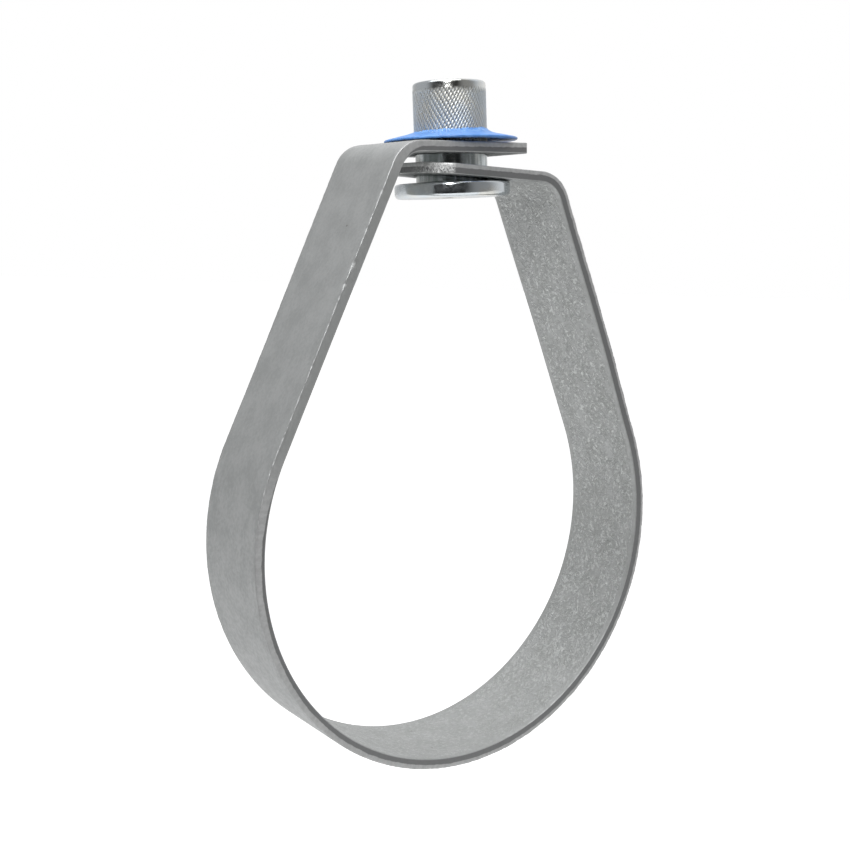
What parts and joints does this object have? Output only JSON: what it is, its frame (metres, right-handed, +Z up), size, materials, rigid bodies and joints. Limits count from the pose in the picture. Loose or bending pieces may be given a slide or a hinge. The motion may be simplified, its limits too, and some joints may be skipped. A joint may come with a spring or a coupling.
{
  "type": "swivel ring pipe hanger",
  "caption": "Teardrop ring bent from flat galvanised strip that hangs a pipe from a threaded rod, swivelling on a flanged knurled nut held by a plastic washer.",
  "frame": {"origin": "centre of the ring, on the axis of the pipe that it holds", "axes": "+Y along the pipe, +Z up towards the rod, +X towards the leg that carries the lower tab"},
  "size_m": [0.1204, 0.0334, 0.1745],
  "materials": {
    "galvanised_strip": "dull galvanised steel strip",
    "plated_nut": "bright zinc plate",
    "blue_plastic": "moulded polyethylene"
  },
  "bodies": {
    "nut": {"swivel_nut": "plated_nut", "retaining_washer": "blue_plastic"},
    "ring": {"band": "galvanised_strip"}
  },
  "joints": [
    {"name": "ring_swivel", "type": "hinge", "parent": "nut", "child": "ring", "pos_m": [0, 0, 0.09448], "axis": [-0.0802, 0, 0.9968], "continuous": true}
  ]
}
